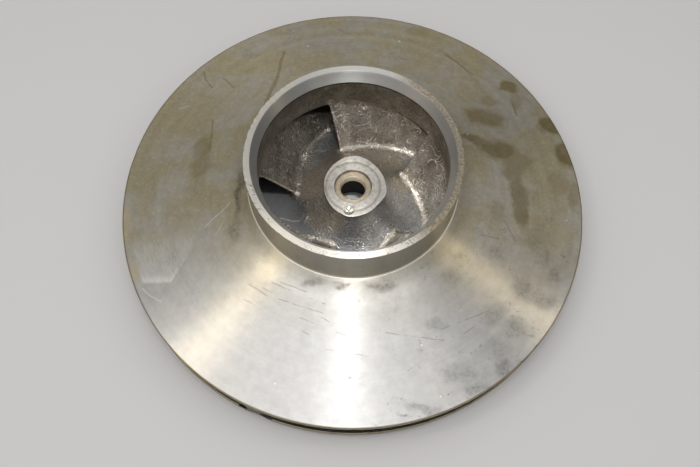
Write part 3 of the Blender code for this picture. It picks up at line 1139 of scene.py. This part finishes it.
def outlineRadius(angle):
    # the measured outline, eased between its points and softened over a few degrees
    directions = [a for a, r in hubLook["outline"]]
    radii = [r / 1000 for a, r in hubLook["outline"]]
    around = [angle + turn for turn in (-6, -3, 0, 3, 6)]
    return float(np.mean(np.interp(around, directions, radii, period=360)))


def hubShape(radius, height, angle):
    boss = casting["boss"]
    start, end = hubLook["groove"] + hubLook["grooveWidth"] / 2, boss + hubLook["outlineReach"]
    if height > casting["backFace"] + 0.004 and start < radius < end:
        share = (radius - start) / (boss - start) if radius <= boss else (end - radius) / (end - boss)
        radius += (outlineRadius(angle) - boss) * min(1.0, share)
    return radius, height


def cutAway(piece, name, build, place):
    mesh = bpy.data.meshes.new(name)
    tool = bmesh.new()
    build(tool)
    tool.to_mesh(mesh)
    tool.free()
    cutter = addObject(name, mesh)
    cutter.location = place
    cut = piece.modifiers.new(name, "BOOLEAN")
    cut.operation = "DIFFERENCE"
    cut.solver = "EXACT"
    cut.object = cutter
    bpy.context.view_layer.update()
    done = bpy.data.meshes.new_from_object(piece.evaluated_get(bpy.context.evaluated_depsgraph_get()))
    piece.modifiers.remove(cut)
    piece.data = done
    done.name = piece.name
    bpy.data.objects.remove(cutter)


def buildHub():
    look = hubLook
    piece = turnedPiece("hubBoss", hubStrips(), hubShape)

    def key(tool):
        bmesh.ops.create_cube(tool, size=1.0)
        size = (look["keyWidth"], look["bore"] + look["keyDepth"], look["boreDepth"] * 2)
        bmesh.ops.scale(tool, vec=size, verts=tool.verts)

    def drill(tool):
        bmesh.ops.create_cone(tool, cap_ends=True, segments=32, radius1=0.0,
                              radius2=look["dimple"] * 2, depth=look["dimpleDepth"] * 2)

    cutAway(piece, "keyway", key, (0.0, -(look["bore"] + look["keyDepth"]) / 2, 0.0))
    top, centre = casting["bossTop"], polar(*casting["dimple"])
    cutAway(piece, "dimple", drill, (*centre, top))
    piece.data.shade_smooth()
    piece.data.set_sharp_from_angle(angle=math.radians(20))
    piece.data.materials.append(finishes["drillSteel"])
    for face in piece.data.polygons:
        off = math.dist(face.center[:2], centre)
        if off < look["dimple"] and top - look["dimpleDepth"] < face.center.z < top - 0.00005:
            face.material_index = len(piece.data.materials) - 1
    return piece


hubBoss = buildHub()
seat(hubBoss, "hub")
print("hub turned and cut")


# Vanes

vaneLook = {
    "count": 5,
    "thickness": 0.005,
    "noseThickness": 0.0018,
    "noseLength": 0.08,       # shares of the vane's run
    "noseRound": 0.007,
    "wrap": 144,
    "earlyGrowth": 0.72,
    "leadAngle": 31.5,
    "twist": 2.8,
    "root": 0.0412,
    "floorFillet": 0.0045,
    "roofFillet": 0.003,
    "sink": 0.0008,           # how far its flanges reach into the shrouds
    "stations": 84,
    "filletRows": 8,
    "middleRows": 9,
}


def vanePlace(progress, span):
    # progress runs from the leading edge to the rim, span from the floor to the roof
    look = vaneLook
    growth = look["earlyGrowth"] * progress + (1 - look["earlyGrowth"]) * progress ** 2
    rootRadius = look["root"] * (casting["rim"] / look["root"]) ** growth
    lean = (casting["lip"] - look["root"]) * np.maximum(0.0, 1 - progress)
    roofRadius = rootRadius + lean
    share = np.clip((roofRadius - casting["lip"]) / casting["lipBend"], 0.0, 1.0)
    bent = casting["lipHeight"] - casting["lipBend"] * np.sqrt(np.maximum(0.0, 1 - (1 - share) ** 2))
    roofZ = np.where(roofRadius < casting["lip"] + casting["lipBend"], bent, roofHeight(roofRadius))
    floorZ = floorHeight(rootRadius)
    radius = rootRadius + (roofRadius - rootRadius) * span
    height = floorZ + (roofZ - floorZ) * span
    twist = look["twist"] * span
    angle = np.radians(look["leadAngle"] + twist) - np.radians(look["wrap"] + twist) * progress
    return np.stack([radius * np.cos(angle), radius * np.sin(angle), height], -1)


def unit(vectors):
    return vectors / np.maximum(np.linalg.norm(vectors, axis=-1, keepdims=True), 1e-9)


def wallGap(places, wall):
    # Signed distance from a wall line in the section, and the wall's direction out into the water
    radius = np.hypot(places[..., 0], places[..., 1])
    spot = np.stack([radius, places[..., 2]], -1)
    start, run = wall[:-1], wall[1:] - wall[:-1]
    length2 = (run ** 2).sum(-1)
    away = spot[..., None, :] - start
    share = np.clip((away * run).sum(-1) / length2, 0.0, 1.0)
    miss = away - share[..., None] * run
    nearest = np.argmin((miss ** 2).sum(-1), -1)
    outward = unit(np.stack([-run[:, 1], run[:, 0]], -1))[nearest]
    offset = np.take_along_axis(miss, nearest[..., None, None], -2)[..., 0, :]
    gap = np.linalg.norm(offset, axis=-1) * np.sign((offset * outward).sum(-1) + 1e-12)
    around = places[..., :2] / np.maximum(radius, 1e-9)[..., None]
    normal = np.concatenate([around * outward[..., :1], outward[..., 1:]], -1)
    return gap, normal


def waterWalls():
    far = casting["rim"] + 0.02
    floor = np.array([(r, floorHeight(r)) for r in spread(0.025, far, 260)])
    roof = [(r, roofHeight(r)) for r in spread(far, lipArc(2)[-1][0], 180)]
    throat = [(throatRadius(h), h) for h in spread(casting["lipHeight"], casting["leadInBottom"], 40)]
    return floor, np.array(roof[:-1] + lipArc(24)[::-1] + throat[1:])


def vaneMesh():
    look = vaneLook
    floorWall, roofWall = waterWalls()
    count, fillets, middle = look["stations"], look["filletRows"], look["middleRows"]
    noseRound = look["noseRound"]
    nose = [noseRound * (1 - math.cos(math.radians(a))) for a in spread(0, 90, 6)]
    run = [noseRound + (1 - noseRound) * share ** 1.35 for share in spread(0, 1, count)][1:]
    half = nose + run
    share = np.array(half[::-1] + half[1:])
    side = np.array([-1.0] * len(half) + [1.0] * (len(half) - 1))
    lean = [math.radians(a) for a in spread(90, 0, fillets)]
    floorGap = [look["floorFillet"] * (1 - math.sin(a)) for a in lean]
    floorPush = [look["floorFillet"] * (1 - math.cos(a)) for a in lean]
    roofGap = [look["roofFillet"] * (1 - math.sin(a)) for a in lean][::-1]
    roofPush = [look["roofFillet"] * (1 - math.cos(a)) for a in lean][::-1]
    rows = fillets * 2 + middle
    span = np.tile(np.linspace(0.0, 1.0, rows), (len(share), 1))
    rimProgress = np.ones((2, rows))
    sideIndex = (side > 0).astype(int)
    for sweep in range(8):
        progress = share[:, None] * (1 + (rimProgress[sideIndex] - 1) * share[:, None] ** 2)
        centre = vanePlace(progress, span)
        along = vanePlace(progress + 0.0002, span) - vanePlace(progress - 0.0002, span)
        up = vanePlace(progress, span + 0.002) - vanePlace(progress, span - 0.002)
        normal = unit(np.cross(along, up)) * side[:, None, None]
        growth = (look["thickness"] - look["noseThickness"]) * np.clip(progress / look["noseLength"], 0, 1)
        full = look["noseThickness"] + growth
        rounding = np.sqrt(np.clip(1 - (1 - np.clip(progress / noseRound, 0, 1)) ** 2, 0, 1))
        skin = centre + normal * (full / 2 * rounding)[..., None]
        pivot = vanePlace(np.full_like(progress, noseRound), span)
        outward = np.where((progress < noseRound)[..., None], unit(skin - pivot), normal)
        final = skin.copy()
        height = np.linalg.norm(vanePlace(progress, 1.0 + 0 * span) - vanePlace(progress, 0 * span), axis=-1)
        for first, gaps, pushes, wall, sign in ((0, floorGap, floorPush, floorWall, 1.0),
                                                (rows - fillets, roofGap, roofPush, roofWall, -1.0)):
            band = slice(first, first + fillets)
            wanted = np.array(gaps)
            gap, wallOut = wallGap(skin[:, band], wall)
            span[:, band] += sign * (wanted - gap) / height[:, band]
            slide = outward[:, band] - (outward[:, band] * wallOut).sum(-1, keepdims=True) * wallOut
            moved = skin[:, band] + unit(slide) * np.array(pushes)[None, :, None]
            for settle in range(2):
                gap, wallOut = wallGap(moved, wall)
                moved = moved + (wanted - gap)[..., None] * wallOut
            final[:, band] = moved
        low, high = span[:, fillets - 1], span[:, rows - fillets]
        steps = np.linspace(0, 1, middle + 2)[1:-1]
        span[:, fillets:rows - fillets] = low[:, None] + (high - low)[:, None] * steps
        for end, index in ((0, 0), (1, len(share) - 1)):
            missing = casting["rim"] - np.hypot(final[index, :, 0], final[index, :, 1])
            rimProgress[end] += missing / 0.29
    floorOut = wallGap(final[:, 0], floorWall)[1]
    roofOut = wallGap(final[:, -1], roofWall)[1]
    bottom = final[:, 0] - floorOut * look["sink"]
    top = final[:, -1] - roofOut * look["sink"]
    whole = np.concatenate([bottom[:, None], final, top[:, None]], 1)
    over = np.maximum(1.0, np.hypot(whole[..., 0], whole[..., 1]) / casting["rim"])
    whole[..., :2] /= over[..., None]
    return whole


def buildVane(number, places):
    turn = math.tau * (number - 1) / vaneLook["count"]
    spin = np.array([[math.cos(turn), -math.sin(turn), 0], [math.sin(turn), math.cos(turn), 0], [0, 0, 1]])
    columns, rows = places.shape[:2]
    points = (places.reshape(-1, 3) @ spin.T).tolist()
    faces = []
    for i in range(columns):
        j = (i + 1) % columns
        for k in range(rows - 1):
            faces.append((i * rows + k, i * rows + k + 1, j * rows + k + 1, j * rows + k))
    # the flanges close below the floor and above the roof, inside the shrouds
    for row, flip in ((0, False), (rows - 1, True)):
        for i in range(columns // 2):
            a, b = i * rows + row, (i + 1) * rows + row
            c, d = (columns - 2 - i) * rows + row, (columns - 1 - i) * rows + row
            ring = [a, b, c, d] if b != c else [a, b, d]
            faces.append(tuple(ring[::-1] if flip else ring))
    mesh = bpy.data.meshes.new(f"vane{number}")
    mesh.from_pydata(points, [], faces)
    mesh.materials.append(finishes["vaneSteel"])
    mesh.validate()
    body = bmesh.new()
    body.from_mesh(mesh)
    bmesh.ops.recalc_face_normals(body, faces=body.faces)
    body.to_mesh(mesh)
    body.free()
    mesh.shade_smooth()
    mesh.set_sharp_from_angle(angle=math.radians(40))
    return addObject(f"vane{number}", mesh)


vanePlaces = vaneMesh()
for vaneNumber in range(1, vaneLook["count"] + 1):
    seat(buildVane(vaneNumber, vanePlaces), f"vane_{vaneNumber}")
print("vanes built:", vaneLook["count"])

bpy.context.view_layer.update()
